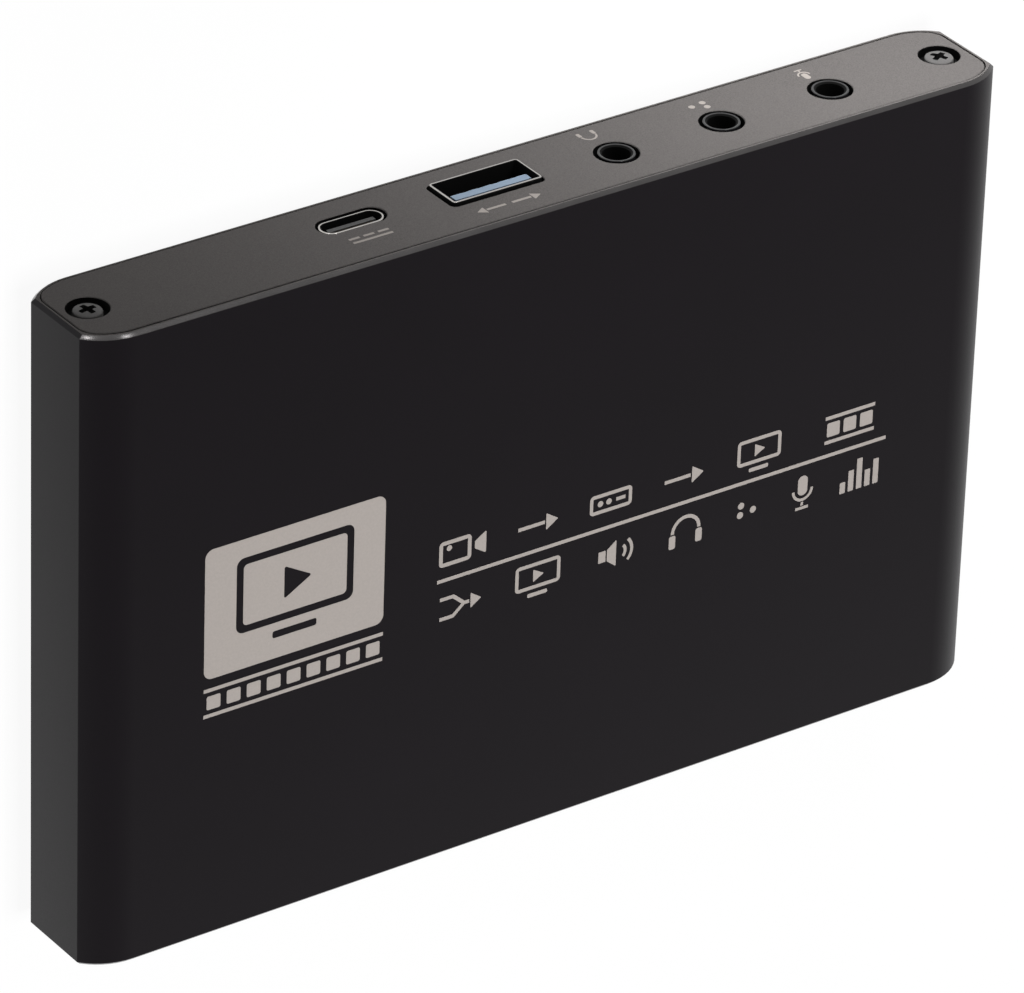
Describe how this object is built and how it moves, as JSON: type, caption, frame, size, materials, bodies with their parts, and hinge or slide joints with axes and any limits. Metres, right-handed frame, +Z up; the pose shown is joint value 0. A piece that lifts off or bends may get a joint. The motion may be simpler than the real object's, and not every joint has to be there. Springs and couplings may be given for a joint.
{
  "type": "video capture box",
  "caption": "Flat black aluminium video capture and switcher box with power, data and audio sockets at the rear, and video sockets, a select button and lights at the front.",
  "frame": {"origin": "centre of the wide face that the box rests on", "axes": "+X along the wide face, in its reading direction; +Y out of the rear sockets; +Z up, out of the printed face"},
  "size_m": [0.135, 0.089, 0.0164],
  "materials": {
    "case_black": "black anodised, satin",
    "plate_grey": "grey anodised, finely blasted",
    "screw_black": "black oxide",
    "board_green": "green solder mask",
    "shell_nickel": "bright nickel plate",
    "insulator_black": "moulded",
    "insulator_blue": "moulded",
    "contact_gold": "gold plate",
    "spring_silver": "silver plate",
    "jack_black": "moulded",
    "button_black": "moulded, satin",
    "plunger_red": "moulded",
    "light_clear": "clear, polished",
    "lamp_white": "moulded",
    "chip_black": "moulded",
    "pad_grey": "soft silicone",
    "sink_black": "dark anodised",
    "can_silver": "drawn can",
    "inductor_grey": "pressed ferrite",
    "ceramic_tan": "fired ceramic"
  },
  "bodies": {
    "box": {"case_tube": "case_black", "rear_plate": "plate_grey", "front_plate": "plate_grey", "plate_screws": "screw_black", "circuit_board": "board_green", "power_socket_shell": "shell_nickel", "power_socket_insulator": "insulator_black", "power_socket_contacts": "contact_gold", "data_socket_shell": "shell_nickel", "data_socket_insulator": "insulator_blue", "data_socket_contacts": "contact_gold", "headphone_jack_body": "jack_black", "headphone_jack_springs": "spring_silver", "line_jack_body": "jack_black", "line_jack_springs": "spring_silver", "microphone_jack_body": "jack_black", "microphone_jack_springs": "spring_silver", "video_in_1_shell": "shell_nickel", "video_in_1_insulator": "insulator_black", "video_in_1_contacts": "contact_gold", "video_in_2_shell": "shell_nickel", "video_in_2_insulator": "insulator_black", "video_in_2_contacts": "contact_gold", "video_out_shell": "shell_nickel", "video_out_insulator": "insulator_black", "video_out_contacts": "contact_gold", "switch_dome": "spring_silver", "switch_cover": "spring_silver", "switch_housing": "insulator_black", "switch_pins": "spring_silver", "light_pipe": "light_clear", "indicator_leds": "lamp_white", "capture_chip": "chip_black", "thermal_pad": "pad_grey", "heat_sink": "sink_black", "video_switch_chip": "chip_black", "audio_chip": "chip_black", "memory_chip": "chip_black", "firmware_chip": "chip_black", "crystal": "can_silver", "power_inductors": "inductor_grey", "bulk_capacitors": "can_silver", "ceramic_capacitors": "ceramic_tan"},
    "button": {"select_button": "button_black", "switch_plunger": "plunger_red"}
  },
  "joints": [
    {"name": "button_press", "type": "slide", "parent": "box", "child": "button", "axis": [0, 1, 0], "range_m": [0, 0.0003], "stiffness_N_per_m": 5000, "deforming": ["switch_dome"]}
  ]
}
